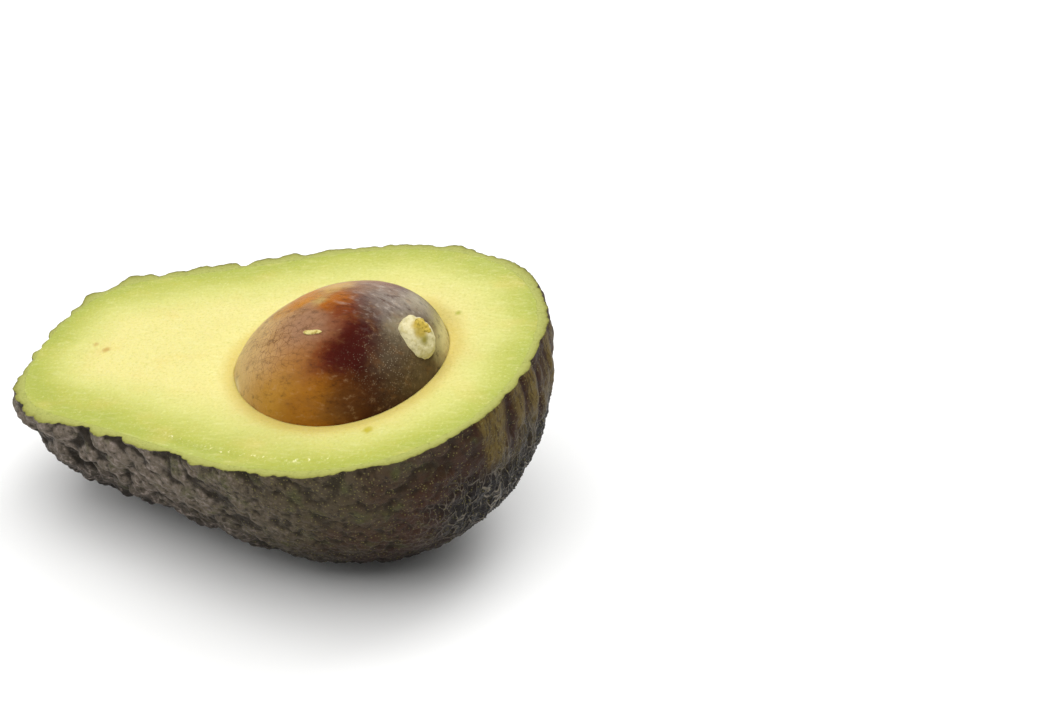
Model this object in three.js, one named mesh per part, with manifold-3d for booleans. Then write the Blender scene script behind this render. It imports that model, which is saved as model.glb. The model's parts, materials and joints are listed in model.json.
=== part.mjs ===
// Half of a rough-skinned avocado with its seed in place, cut lengthwise and laid on its back.
//
// Millimetres. The pieces are shaped in the fruit's own frame: X runs along the cut face from the
// stem end to the broad end, Y runs across it, and Z points up out of it. The cut face is Z = 0.
// The outer group tilts the fruit as it lies and puts the origin under the middle of its box.

import * as THREE from "three";
import { mergeVertices } from "three/addons/utils/BufferGeometryUtils.js";
import Module from "manifold-3d";

const wasm = await Module();
wasm.setup();

// Driving dimensions: the fruit.
const LENGTH = 100.8;
// Half-width of the cut face: sin(t) times the sum of these on cos(0t), cos(1t), cos(2t) and so on,
// with t from 0 at the stem end to pi at the broad end.
const WIDTH_SERIES = [38.1, -3.6, 6.9, 2.8, 1.4];
const DEPTH_RATIO = 1.12; // depth under the cut face over the half-width, at mid-length
const DEPTH_TAPER = 0.05; // more of it at the stem end, less at the broad end
const PEEL = 1.6; // thickness of the skin
const GAP = 0.3; // clearance between pieces that touch on the real fruit
const LIE_PITCH = 10; // degrees, the broad end raised
const LIE_ROLL = 8; // degrees, the cut face leaning towards -Y
const FLAT_DEPTH = 0.8; // how far the fruit is pressed in at its resting spot

// Driving dimensions: the relief of the skin. Each layer is a field of rounded bumps.
const LUMPS = { spacing: 8.5, height: 1.7, seed: 11 }; // coarse, on the stem end
const PEBBLES = { spacing: 5.2, height: 0.75, seed: 29 }; // all over
const LUMPS_FADE = [18, 62]; // X over which the lumps lose height
const LUMPS_LEAST = 0.25; // share of their height that is left past it
const BUMP_STEEPNESS = 1.4; // how fast a bump falls off, by the square of the distance in spacings
const BUMP_MEAN = 0.5; // mean height of a field, which is taken off so that the fruit keeps its size
const LATTICE_PRIMES = [73856093, 19349663, 83492791, 668265263];
const MIXING_PRIMES = [1274126177, 2246822519];

// Driving dimensions: the seed, an egg with its broad end at +X.
const SEED_CENTRE = new THREE.Vector3(63.0, -1.6, -2.6);
const SEED_RADII = new THREE.Vector3(21.4, 18.0, 14.5);
const SEED_EGG = 0.15; // share by which the cross-section grows towards the broad end
const SEED_PITCH = -0.21; // radians about Y, the broad end raised
const SEED_YAW = -0.16; // radians about Z
const SCAR_DIRECTION = new THREE.Vector3(0.95, 0.09, 0.3); // from the seed's centre
const SCAR_RADIUS = 3.8;
const SCAR_DEPTH = 1.6; // below the seed's surface at the middle
const SCAR_RISE = 0.7; // above it

// Mesh fineness: rings from the underside to the cut edge, and subdivisions of a sphere.
const SKIN_RINGS = 32;
const LINING_RINGS = SKIN_RINGS / 2;
const FLESH_RINGS = 15;
const SEED_DETAIL = 7;
const SCAR_SIDES = 20;

const COLOURS = {
  skin: { color: 0x3b342c, roughness: 0.55, metalness: 0 },
  flesh: { color: 0xe4e083, roughness: 0.45, metalness: 0 },
  seed: { color: 0x6e4426, roughness: 0.4, metalness: 0 },
  seed_scar: { color: 0xe6dfb4, roughness: 0.7, metalness: 0 },
};

// The form of the fruit

// The sum of the width series at a place along the fruit, from -1 at the stem to 1 at the broad end.
function widthAt(along) {
  const t = Math.acos(THREE.MathUtils.clamp(-along, -1, 1));
  return WIDTH_SERIES.reduce((sum, c, k) => sum + c * Math.cos(k * t), 0);
}

function depthAt(along) {
  return widthAt(along) * (DEPTH_RATIO - DEPTH_TAPER * along);
}

// The point of the smooth fruit that a direction of the unit sphere stands for.
function fruitPoint(direction) {
  const along = direction.x;
  return new THREE.Vector3(
    (LENGTH * (1 + along)) / 2,
    widthAt(along) * direction.y,
    depthAt(along) * direction.z,
  );
}

// 0 on the smooth fruit, below 0 inside it and above 0 outside.
function fruitLevel(x, y, z) {
  const along = (2 * x) / LENGTH - 1;
  return along ** 2 + (y / widthAt(along)) ** 2 + (z / depthAt(along)) ** 2 - 1;
}

// The outward normal of the smooth fruit at a point of it.
function fruitNormal({ x, y, z }) {
  const step = 0.01;
  return new THREE.Vector3(
    fruitLevel(x + step, y, z) - fruitLevel(x - step, y, z),
    fruitLevel(x, y + step, z) - fruitLevel(x, y - step, z),
    fruitLevel(x, y, z + step) - fruitLevel(x, y, z - step),
  ).normalize();
}

// The relief of the skin

// A repeatable number from 0 to 1 for a cell of a 3D lattice: its whole numbers are multiplied by
// large primes and mixed, 32 bits at a time.
function cellRandom(i, j, k, seed) {
  const [forX, forY, forZ, forSeed] = LATTICE_PRIMES;
  let mixed = Math.imul(i, forX) ^ Math.imul(j, forY) ^ Math.imul(k, forZ) ^ Math.imul(seed, forSeed);
  for (const prime of MIXING_PRIMES) mixed = Math.imul(mixed ^ (mixed >>> 15), prime);
  return ((mixed ^ (mixed >>> 15)) >>> 0) / 2 ** 32;
}

// The centre of the bump that a cell holds, in cells.
function bumpCentre(i, j, k, seed) {
  return new THREE.Vector3(
    i + cellRandom(i, j, k, seed),
    j + cellRandom(i, j, k, seed + 1),
    k + cellRandom(i, j, k, seed + 2),
  );
}

// The height of a field of rounded bumps at a point, from 0 between them to 1 on their tops.
function bumps(point, { spacing, seed }) {
  const at = point.clone().divideScalar(spacing);
  const cell = at.clone().floor();
  let nearest = Infinity;
  for (let i = -1; i <= 1; i++)
    for (let j = -1; j <= 1; j++)
      for (let k = -1; k <= 1; k++) {
        const centre = bumpCentre(cell.x + i, cell.y + j, cell.z + k, seed);
        nearest = Math.min(nearest, centre.distanceToSquared(at));
      }
  return Math.max(0, 1 - BUMP_STEEPNESS * nearest);
}

// How far the skin stands out of the smooth fruit at a point of it.
function relief(point) {
  const fade = 1 - THREE.MathUtils.smoothstep(point.x, ...LUMPS_FADE) * (1 - LUMPS_LEAST);
  return (
    LUMPS.height * fade * (bumps(point, LUMPS) - BUMP_MEAN) +
    PEBBLES.height * (bumps(point, PEBBLES) - BUMP_MEAN)
  );
}

// Meshes of the half fruit

// Unit directions over the lower half of a sphere, evenly spread: one at the bottom, then rings of
// 6, 12, 18 and so on, with the last ring level with the centre.
function bowlDirections(rings) {
  const directions = [new THREE.Vector3(0, 0, -1)];
  for (let ring = 1; ring <= rings; ring++) {
    const tilt = 2 * Math.asin(ring / rings / Math.SQRT2);
    const z = ring === rings ? 0 : -Math.cos(tilt);
    for (let i = 0; i < 6 * ring; i++) {
      const turn = (2 * Math.PI * i) / (6 * ring);
      const out = Math.sin(tilt);
      directions.push(new THREE.Vector3(out * Math.cos(turn), out * Math.sin(turn), z));
    }
  }
  return directions;
}

function ringStart(ring) {
  return ring === 0 ? 0 : 1 + 3 * ring * (ring - 1);
}

// Triangles between those rings, facing out of the bowl.
function bowlTriangles(rings) {
  const triangles = [];
  for (let ring = 1; ring <= rings; ring++)
    for (let side = 0; side < 6; side++)
      for (let i = 0; i < ring; i++) {
        const outer = (n) => ringStart(ring) + ((side * ring + n) % (6 * ring));
        const before = ring - 1;
        const inner = (n) => ringStart(before) + ((side * before + n) % Math.max(1, 6 * before));
        triangles.push([outer(i + 1), outer(i), inner(i)]);
        if (i < ring - 1) triangles.push([outer(i + 1), inner(i), inner(i + 1)]);
      }
  return triangles;
}

// The direction that is up where the fruit lies, in the fruit's own frame.
const lie = new THREE.Euler(THREE.MathUtils.degToRad(LIE_ROLL), THREE.MathUtils.degToRad(-LIE_PITCH), 0);
const up = new THREE.Vector3(0, 0, 1).applyQuaternion(new THREE.Quaternion().setFromEuler(lie).invert());

// Lifts the points that lie below the resting plane onto it, which makes the flat spot.
function pressFlat(points, level) {
  for (const point of points) {
    const below = level - point.dot(up);
    if (below > 0) point.addScaledVector(up, below);
  }
}

// The points of the smooth half fruit, moved out along its normals by a distance for each.
function bowlPoints(rings, distanceAt) {
  return bowlDirections(rings).map((direction) => {
    const point = fruitPoint(direction);
    const normal = fruitNormal(point);
    if (direction.z === 0) normal.setZ(0);
    return point.addScaledVector(normal, distanceAt(point));
  });
}

function geometryFrom(points, triangles) {
  const geometry = new THREE.BufferGeometry().setFromPoints(points);
  geometry.setIndex(triangles.flat());
  return geometry;
}

// The skin: rough outside, smooth inside, with the cut edge of the peel between the two.
function skinGeometry() {
  const smooth = bowlPoints(SKIN_RINGS, () => 0);
  const restLevel = Math.min(...smooth.map((point) => point.dot(up))) + FLAT_DEPTH;
  const outside = bowlPoints(SKIN_RINGS, relief);
  pressFlat(outside, restLevel);
  const inside = bowlPoints(LINING_RINGS, () => -PEEL);
  const triangles = bowlTriangles(SKIN_RINGS);
  const shift = outside.length;
  for (const [a, b, c] of bowlTriangles(LINING_RINGS)) triangles.push([shift + c, shift + b, shift + a]);
  const rim = ringStart(SKIN_RINGS);
  const lip = shift + ringStart(LINING_RINGS);
  const lipCount = 6 * LINING_RINGS;
  for (let i = 0; i < lipCount; i++) {
    const [a, b, c] = [2 * i, 2 * i + 1, (2 * i + 2) % (2 * lipCount)].map((n) => rim + n);
    const [p, q] = [lip + i, lip + ((i + 1) % lipCount)];
    triangles.push([a, b, p], [b, q, p], [b, c, q]);
  }
  return geometryFrom([...outside, ...inside], triangles);
}

// The flesh before its socket is cut: a smooth half fruit with a flat face.
function fleshBlankGeometry() {
  const points = bowlPoints(FLESH_RINGS, () => -(PEEL + GAP));
  const triangles = bowlTriangles(FLESH_RINGS);
  const rim = ringStart(FLESH_RINGS);
  const count = 6 * FLESH_RINGS;
  const middle = points.length;
  points.push(new THREE.Vector3(LENGTH / 2, 0, 0));
  for (let i = 0; i < count; i++) triangles.push([rim + i, rim + ((i + 1) % count), middle]);
  return geometryFrom(points, triangles);
}

// The seed and its scar, in the seed's own frame

function eggPoint(direction, growth) {
  const swell = 1 + SEED_EGG * direction.x;
  return new THREE.Vector3(
    (SEED_RADII.x + growth) * direction.x,
    (SEED_RADII.y + growth) * swell * direction.y,
    (SEED_RADII.z + growth) * swell * direction.z,
  );
}

function eggGeometry(growth) {
  const geometry = new THREE.IcosahedronGeometry(1, SEED_DETAIL);
  const positions = geometry.getAttribute("position");
  const direction = new THREE.Vector3();
  for (let i = 0; i < positions.count; i++) {
    direction.fromBufferAttribute(positions, i).normalize();
    positions.setXYZ(i, ...eggPoint(direction, growth));
  }
  return geometry;
}

// A round body about Y from a profile of [radius, height] pairs, which starts and ends on the axis.
function turned(profile) {
  return new THREE.LatheGeometry(
    profile.map(([radius, height]) => new THREE.Vector2(radius, height)),
    SCAR_SIDES,
  );
}

// The scar: a low cap where the seed was joined to the flesh, let into the seed.
function scarGeometry() {
  return turned([
    [0, -SCAR_DEPTH + GAP],
    [SCAR_RADIUS - 0.3, -SCAR_DEPTH + GAP],
    [SCAR_RADIUS, -0.3],
    [0.75 * SCAR_RADIUS, 0.55 * SCAR_RISE],
    [0.4 * SCAR_RADIUS, 0.9 * SCAR_RISE],
    [0, SCAR_RISE],
  ]);
}

function scarPocketGeometry() {
  const clear = 3; // above the seed's surface, so that the pocket is open
  return turned([
    [0, -SCAR_DEPTH],
    [SCAR_RADIUS + GAP, -SCAR_DEPTH],
    [SCAR_RADIUS + GAP, clear],
    [0, clear],
  ]);
}

// Solids that can be cut

function toSolid(geometry) {
  const bare = geometry.index ? geometry.toNonIndexed() : geometry.clone();
  bare.deleteAttribute("normal");
  bare.deleteAttribute("uv");
  const merged = mergeVertices(bare, 1e-4);
  const corners = merged.index.array;
  const triangles = [];
  for (let i = 0; i < corners.length; i += 3) {
    const [a, b, c] = corners.subarray(i, i + 3);
    if (a !== b && b !== c && c !== a) triangles.push(a, b, c);
  }
  return new wasm.Manifold(
    new wasm.Mesh({
      numProp: 3,
      vertProperties: merged.getAttribute("position").array,
      triVerts: new Uint32Array(triangles),
    }),
  );
}

function toGeometry(solid) {
  const mesh = solid.getMesh();
  const geometry = new THREE.BufferGeometry();
  geometry.setAttribute("position", new THREE.BufferAttribute(mesh.vertProperties, 3));
  geometry.setIndex(new THREE.BufferAttribute(mesh.triVerts, 1));
  return geometry;
}

// A tool, given in the frame of an object, cut out of a body in the frame that holds the object.
function cut(body, tool, holder) {
  holder.updateMatrix();
  const placed = tool.clone().applyMatrix4(holder.matrix);
  return toGeometry(toSolid(body).subtract(toSolid(placed)));
}

// The assembly

function namedMesh(name, geometry) {
  geometry.computeVertexNormals();
  const mesh = new THREE.Mesh(geometry, new THREE.MeshStandardMaterial(COLOURS[name]));
  mesh.name = name;
  return mesh;
}

// The scar's group stands on the seed's surface with its Y axis along the outward normal.
function scarGroup() {
  const direction = SCAR_DIRECTION.clone().normalize();
  const group = new THREE.Group();
  group.position.copy(eggPoint(direction, 0));
  const normal = direction.clone().divide(SEED_RADII).normalize();
  group.quaternion.setFromUnitVectors(new THREE.Vector3(0, 1, 0), normal);
  group.add(namedMesh("seed_scar", scarGeometry()));
  return group;
}

function seedGroup() {
  const group = new THREE.Group();
  group.position.copy(SEED_CENTRE);
  group.rotation.set(0, SEED_PITCH, SEED_YAW, "ZYX");
  const scar = scarGroup();
  group.add(namedMesh("seed", cut(eggGeometry(0), scarPocketGeometry(), scar)));
  group.add(scar);
  return group;
}

// The whole half as it lies, with the origin on the table under the middle of its box.
function avocadoHalf() {
  const seed = seedGroup();
  const lying = new THREE.Group();
  lying.rotation.copy(lie);
  lying.add(namedMesh("skin", skinGeometry()));
  lying.add(namedMesh("flesh", cut(fleshBlankGeometry(), eggGeometry(GAP / (1 - SEED_EGG)), seed)));
  lying.add(seed);
  const box = new THREE.Box3().setFromObject(lying, true);
  const middle = box.getCenter(new THREE.Vector3());
  lying.position.set(-middle.x, -middle.y, -box.min.z);
  const half = new THREE.Group();
  half.name = "avocado_half";
  half.add(lying);
  return half;
}

export default avocadoHalf();
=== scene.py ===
from collections import namedtuple
import json
import math

import bmesh
import bpy
from bpy.props import FloatProperty, FloatVectorProperty, PointerProperty
from bpy.types import Operator, Panel, PropertyGroup
from mathutils import Matrix, Vector, noise
import numpy as np

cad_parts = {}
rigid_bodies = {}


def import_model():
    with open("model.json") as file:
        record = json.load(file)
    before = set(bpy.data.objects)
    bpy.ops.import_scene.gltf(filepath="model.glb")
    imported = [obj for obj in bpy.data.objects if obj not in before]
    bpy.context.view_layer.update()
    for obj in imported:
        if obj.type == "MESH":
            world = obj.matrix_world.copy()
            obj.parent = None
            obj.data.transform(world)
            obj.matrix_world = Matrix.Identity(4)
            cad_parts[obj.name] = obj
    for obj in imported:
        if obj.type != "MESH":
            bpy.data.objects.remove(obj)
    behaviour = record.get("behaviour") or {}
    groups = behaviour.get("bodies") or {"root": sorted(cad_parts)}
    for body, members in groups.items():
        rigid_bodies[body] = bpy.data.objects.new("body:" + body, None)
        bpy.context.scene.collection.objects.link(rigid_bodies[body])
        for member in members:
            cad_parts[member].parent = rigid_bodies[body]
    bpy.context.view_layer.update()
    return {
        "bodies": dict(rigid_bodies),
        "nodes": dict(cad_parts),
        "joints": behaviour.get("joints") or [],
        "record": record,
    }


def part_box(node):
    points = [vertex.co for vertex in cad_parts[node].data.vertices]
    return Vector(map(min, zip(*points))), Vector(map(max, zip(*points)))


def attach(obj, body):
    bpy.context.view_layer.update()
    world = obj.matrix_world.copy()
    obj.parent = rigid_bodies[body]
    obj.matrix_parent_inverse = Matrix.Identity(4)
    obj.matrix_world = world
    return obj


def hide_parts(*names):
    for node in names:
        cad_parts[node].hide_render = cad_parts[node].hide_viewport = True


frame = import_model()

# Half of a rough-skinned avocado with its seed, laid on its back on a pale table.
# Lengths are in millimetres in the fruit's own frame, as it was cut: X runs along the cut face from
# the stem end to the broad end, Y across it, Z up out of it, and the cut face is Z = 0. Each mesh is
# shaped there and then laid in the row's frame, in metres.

bl_info = {
    "name": "Avocado half",
    "version": (1, 0, 0),
    "blender": (4, 5, 0),
    "location": "View3D > Sidebar > Avocado",
    "description": "Half of a rough-skinned avocado with its seed, cut lengthwise",
    "category": "Object",
}

MM = 0.001
NOISE_SEED = 1

# The form of the fruit, as in the solids
LENGTH = 100.8
WIDTH_SERIES = (38.1, -3.6, 6.9, 2.8, 1.4)
DEPTH_RATIO = 1.12
DEPTH_TAPER = 0.05
PEEL = 1.6
GAP = 0.3
LIE_PITCH = math.radians(10)
LIE_ROLL = math.radians(8)

# The two bump fields of the skin that the solids have too
Field = namedtuple("Field", "spacing height seed")
LUMPS = Field(8.5, 1.7, 11)
PEBBLES = Field(5.2, 0.75, 29)
LUMPS_FADE = (18, 62)
LUMPS_LEAST = 0.25
BUMP_STEEPNESS = 1.4
BUMP_MEAN = 0.5
LATTICE_PRIMES = (73856093, 19349663, 83492791, 668265263)
MIXING_PRIMES = (1274126177, 2246822519)

# The finer relief of the skin. A pair of places or distances says where a change starts and ends.
KNOBS = Field(3.2, 1.35, 47)
KNOBS_FADE = (20, 66)
KNOBS_LEAST = 0.3
GRAINS = Field(1.5, 0.5, 71)
FINE_MEAN = 0.62
PATTERN_CALM = 0.75

# The net of wrinkles under the broad end
WRINKLES = Field(2.3, 0.6, 83)
WRINKLE_WIDTH = 0.3
WRINKLE_MEAN = 0.3
NET_ALONG = (86, 104)
NET_LEAN = 0.35
NET_DOWN = (5, 19)
NET_WANDER = 4

# The ribs round the broad end's pole
RIBS = Field(3.0, 0.75, 97)
RIB_CENTRE = (99.5, -3.0, -7.0)
RIB_REACH = (9.0, 26.0)
RIB_WANDER = 5

# How the broad end's patterns are drawn out: the share of the length that counts, and the half width
# at which widths are true
NET_STREAK = (0.22, 50)
RIB_STREAK = (0.16, 44)
THREAD_STREAK = (0.24, 50)

# Unevenness, as heights and sizes of noise
PEEL_WANDER = ((0.25, 3.0), (0.18, 1.1))
GRIT = ((0.1, 1.1),)
SEAM = ((0.1, 1.6),)
SEED_WAVES = ((0.14, 7.0), (0.05, 2.0))

# The form of the seed, as in the solids
SEED_CENTRE = (63.0, -1.6, -2.6)
SEED_RADII = np.array((21.4, 18.0, 14.5))
SEED_EGG = 0.15
SEED_PITCH = -0.21
SEED_YAW = -0.16
SCAR_DIRECTION = (0.95, 0.09, 0.3)
SCAR_RADIUS = 3.8
SCAR_RADII = (1.1 * SCAR_RADIUS, 0.9 * SCAR_RADIUS, 3.3)
SCAR_SINK = 1.0

# Rows and steps of the meshes
SKIN_DETAIL = 8
SEED_DETAIL = 7
PEEL_ROWS = (0.07, 0.2, 0.4, 0.6, 0.8, 1.0)
RIM_STEPS = 420
FACE_ROWS = 52
WALL_ROWS = 8
SOCKET_ROWS = 9
LINING_ROWS = 8
LAST_TILT = 80

# The cut face: the knife's step along its near side, the raised seam round it, and the dip at the seed
STEP_INSET = 4.7
STEP_DROP = 0.3
STEP_ENDS = (36, 44, 70, 80)
STEP_GLINT = 0.7
SEAM_HEIGHT = 0.06
SEAM_END = 2.6
FACE_START = 3.5
DIP_DEPTH = 0.35
DIP_START = 0.8


def linear(code):
    """A linear colour from an sRGB hex code such as '#c8cc60'."""
    parts = [int(code[i:i + 2], 16) / 255 for i in (1, 3, 5)]
    return tuple(p / 12.92 if p <= 0.04045 else ((p + 0.055) / 1.055) ** 2.4 for p in parts)


def colour_property(name, description, code):
    return FloatVectorProperty(
        name=name, description=description, subtype="COLOR", size=3, min=0, max=1, default=linear(code)
    )


# Settings


class SkinSettings(PropertyGroup):
    grain: FloatProperty(
        name="Grain", description="Height of the fine relief over its usual height", default=1, min=0, max=2
    )
    waxy: colour_property("Waxy tops", "Tops of the lumps at the stem end", "#6a6054")
    olive: colour_property("Olive", "Skin at mid-length", "#4b4130")
    russet: colour_property("Russet", "Skin low on the broad end", "#3a2316")
    rib: colour_property("Ribs", "Ribs round the broad end", "#6c5b2a")
    valley: colour_property("Valleys", "Skin between the lumps", "#1b150c")
    lenticel: colour_property("Lenticels", "Pale pores of the skin", "#7f7848")


class PeelSettings(PropertyGroup):
    rind: colour_property("Outer peel", "Cut peel just under the skin", "#8c8b46")
    pith: colour_property("Middle peel", "Cut peel at mid-thickness", "#a4a65a")
    inner: colour_property("Inner peel", "Cut peel next to the flesh", "#aaad5e")


class FleshSettings(PropertyGroup):
    green: colour_property("Green", "Flesh next to the skin", "#a7ae50")
    lime: colour_property("Lime", "Flesh a little further in", "#b1b555")
    straw: colour_property("Straw", "Flesh half way to the seed", "#cac975")
    butter: colour_property("Butter", "Flesh round the seed and along the core", "#dbd287")


class SeedSettings(PropertyGroup):
    tan: colour_property("Tan", "Coat at the pointed end", "#ccae76")
    oxblood: colour_property("Oxblood", "Darkest part of the coat", "#380b05")


class StageSettings(PropertyGroup):
    floor: colour_property("Floor", "Colour of the table", "#f8f8f7")
    azimuth: FloatProperty(
        name="Azimuth", description="Turn of the camera from +Y towards -X", subtype="ANGLE",
        default=math.radians(19.94),
    )
    elevation: FloatProperty(
        name="Elevation", description="Height of the camera over the horizon", subtype="ANGLE",
        default=math.radians(30.64),
    )
    distance: FloatProperty(
        name="Distance", description="From the camera to the point it is aimed at", unit="LENGTH",
        default=0.452,
    )
    lens: FloatProperty(name="Lens", description="Focal length", unit="CAMERA", default=84.9)


# The fruit's form


def width_at(along):
    """The width series at places along the fruit, from -1 at the stem end to 1 at the broad end."""
    turn = np.arccos(np.clip(-along, -1, 1))
    return sum(size * np.cos(order * turn) for order, size in enumerate(WIDTH_SERIES))


def depth_at(along):
    return width_at(along) * (DEPTH_RATIO - DEPTH_TAPER * along)


def fruit_points(directions):
    """Points of the smooth fruit that directions of the unit sphere stand for."""
    along = directions[:, 0]
    across = width_at(along) * directions[:, 1]
    return np.stack((LENGTH * (1 + along) / 2, across, depth_at(along) * directions[:, 2]), 1)


def fruit_level(points):
    """0 on the smooth fruit, below 0 inside it and above 0 outside."""
    along = 2 * points[:, 0] / LENGTH - 1
    return along ** 2 + (points[:, 1] / width_at(along)) ** 2 + (points[:, 2] / depth_at(along)) ** 2 - 1


def normals_of(level, points, step=0.01):
    """Outward unit normals of a level surface at its points."""
    slopes = [level(points + step * axis) - level(points - step * axis) for axis in np.eye(3)]
    slopes = np.stack(slopes, 1)
    return slopes / np.linalg.norm(slopes, axis=1, keepdims=True)


def rim_directions(turns):
    """Directions of the unit sphere that lie in the cut plane."""
    return np.stack((np.cos(turns), np.sin(turns), np.zeros_like(turns)), 1)


def inset_points(directions, inset):
    """Points under the smooth fruit's surface by an inset, the same for all or one for each."""
    points = fruit_points(directions)
    normals = normals_of(fruit_level, points)
    normals[directions[:, 2] == 0, 2] = 0
    return points - normals * np.reshape(inset, (-1, 1))


def peel_width(turns):
    """Width of the cut peel, which wanders a little round the rim."""
    return PEEL + uneven(rim_directions(turns) * LENGTH / 2, PEEL_WANDER)


def rim_lift(points):
    """Height of the seam between peel and flesh, where the knife left a slight raised line."""
    return SEAM_HEIGHT + uneven(points, SEAM)


# Noise and bump fields


def noise_at(points, size):
    """Smooth noise from -1 to 1 whose features are about a size wide."""
    return np.array([noise.noise(p) for p in (points / size).tolist()])


def uneven(points, waves):
    """A sum of noises, each with its height and its size."""
    return sum(height * noise_at(points, size) for height, size in waves)


def warped(points, reach, size):
    """Points moved about by a smooth noise, which makes a pattern on them less regular."""
    moves = [noise.noise_vector(p) for p in (points / size).tolist()]
    return points + reach * np.array(moves)


def lattice_random(cells, seed):
    """A repeatable number from 0 to 1 for each cell of a 3D lattice, as in the solids."""
    mixed = np.full(len(cells), seed * LATTICE_PRIMES[3] % 2 ** 32, np.uint32)
    for axis in range(3):
        whole = (cells[:, axis] % 2 ** 32).astype(np.uint32)
        mixed ^= whole * np.uint32(LATTICE_PRIMES[axis])
    for prime in MIXING_PRIMES:
        mixed = (mixed ^ (mixed >> np.uint32(15))) * np.uint32(prime)
    return (mixed ^ (mixed >> np.uint32(15))) / 2 ** 32


def two_nearest(points, field):
    """Squared distances, in spacings, to the nearest and the second nearest bump of a field."""
    at = points / field.spacing
    cell = np.floor(at).astype(np.int64)
    first = np.full(len(at), np.inf)
    second = first.copy()
    for step in np.ndindex(3, 3, 3):
        near = cell + np.array(step) - 1
        centre = near + np.stack([lattice_random(near, field.seed + i) for i in range(3)], 1)
        square = ((centre - at) ** 2).sum(1)
        second = np.minimum(second, np.maximum(first, square))
        first = np.minimum(first, square)
    return first, second


def bumps(points, field):
    """Height of a field of rounded bumps, from 0 between them to 1 on their tops."""
    return np.maximum(0, 1 - BUMP_STEEPNESS * two_nearest(points, field)[0])


def ridges(points, field, width):
    """A net of thin ridges along the borders between the cells of a field, 1 on its lines."""
    first, second = two_nearest(points, field)
    return np.clip(1 - (np.sqrt(second) - np.sqrt(first)) / width, 0, 1) ** 1.5


def smooth_step(values, low, high):
    share = np.clip((values - low) / (high - low), 0, 1)
    return share * share * (3 - 2 * share)


# The relief of the skin


def coarse_relief(points):
    """The relief that the solids have."""
    fade = 1 - smooth_step(points[:, 0], *LUMPS_FADE) * (1 - LUMPS_LEAST)
    lumps = LUMPS.height * fade * (bumps(points, LUMPS) - BUMP_MEAN)
    return lumps + PEBBLES.height * (bumps(points, PEBBLES) - BUMP_MEAN)


def streaked(directions, along, across):
    """Coordinates in which a pattern is drawn out along the fruit and down its ends.

    along is how much of the length counts, and across is the half width at which widths are true."""
    return directions * (along * LENGTH / 2, across, along * LENGTH / 2)


def streak_places(points):
    """Coordinates for points near the skin, in which the finest patterns are drawn out as well."""
    directions = points / (LENGTH / 2, WIDTH_SERIES[0], WIDTH_SERIES[0]) - (1, 0, 0)
    return warped(warped(streaked(directions, *THREAD_STREAK), 1.6, 7.0), 0.7, 3.0)


def wrinkle_net(points, directions):
    """The net's share of the skin, under the broad end, and the net itself, 1 on its ridges."""
    along = points[:, 0]
    up = points[:, 2] + NET_WANDER * noise_at(points, 6.0)
    share = smooth_step(along - NET_LEAN * up, *NET_ALONG) * smooth_step(-up, *NET_DOWN)
    return share, ridges(warped(streaked(directions, *NET_STREAK), 0.8, 3.0), WRINKLES, WRINKLE_WIDTH)


def broad_ribs(points, directions):
    """The ribs' share of the skin, round the broad end's pole, and the ribs, 1 on their crests."""
    away = np.linalg.norm(points - RIB_CENTRE, axis=1)
    share = 1 - smooth_step(away + RIB_WANDER * noise_at(points, 4.0), *RIB_REACH)
    return share, bumps(warped(streaked(directions, *RIB_STREAK), 1.2, 5.0), RIBS)


def fine_relief(points, directions):
    """The relief that is finer than the solids', and the net, the ribs and the net's share of the
    skin, which the colour follows."""
    broadward = smooth_step(points[:, 0], *KNOBS_FADE)
    netted, net = wrinkle_net(points, directions)
    ribbed, ribs = broad_ribs(points, directions)
    plain = 1 - PATTERN_CALM * np.maximum(netted, ribbed)
    knobs = KNOBS.height * (1 - (1 - KNOBS_LEAST) * broadward) * plain
    height = knobs * (bumps(warped(points, 0.6, 2.4), KNOBS) - FINE_MEAN)
    height += GRAINS.height * plain * (bumps(warped(points, 0.3, 1.2), GRAINS) - FINE_MEAN)
    height += WRINKLES.height * netted * (net - WRINKLE_MEAN)
    height += RIBS.height * ribbed * (ribs - FINE_MEAN)
    return height + uneven(points, GRIT), netted * net, ribbed * ribs, netted


# Meshes


def row_matrix():
    """Lays the fruit's frame, in millimetres, in the row's frame, in metres.

    The tilt is the solids'. The shift makes the flesh's box meet the box of its solid."""
    tilt = Matrix.Rotation(LIE_ROLL, 4, "X") @ Matrix.Rotation(-LIE_PITCH, 4, "Y") @ Matrix.Scale(MM, 4)
    levels = np.linspace(0, -1, 61)
    turns = np.linspace(0, math.tau, 361)
    rings = [rim_directions(turns) * math.sqrt(1 - z * z) + (0, 0, z) for z in levels]
    points = inset_points(np.concatenate(rings), PEEL + GAP)
    points = points @ np.array(tilt.to_3x3()).T
    low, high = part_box("flesh")
    shift = (np.array(low) + np.array(high) - points.min(0) - points.max(0)) / 2
    return Matrix.Translation(shift) @ tilt


def seed_matrix():
    """Lays the seed's frame in the fruit's."""
    turn = Matrix.Rotation(SEED_YAW, 4, "Z") @ Matrix.Rotation(SEED_PITCH, 4, "Y")
    return Matrix.Translation(SEED_CENTRE) @ turn


def half_sphere(subdivisions):
    """The lower half of a unit sphere, open at the top, with its rim level."""
    bm = bmesh.new()
    bmesh.ops.create_icosphere(bm, subdivisions=subdivisions, radius=1)
    everything = bm.verts[:] + bm.edges[:] + bm.faces[:]
    bmesh.ops.bisect_plane(
        bm, geom=everything, dist=1e-5, plane_co=(0, 0, 0), plane_no=(0, 0, 1), clear_outer=True
    )
    return bm


def positions(bm):
    return np.array([v.co for v in bm.verts])


def layer_values(bm, name):
    layer = bm.verts.layers.float[name]
    return np.array([vert[layer] for vert in bm.verts])


def move_verts(verts, points):
    for vert, point in zip(verts, points):
        vert.co = point


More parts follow.
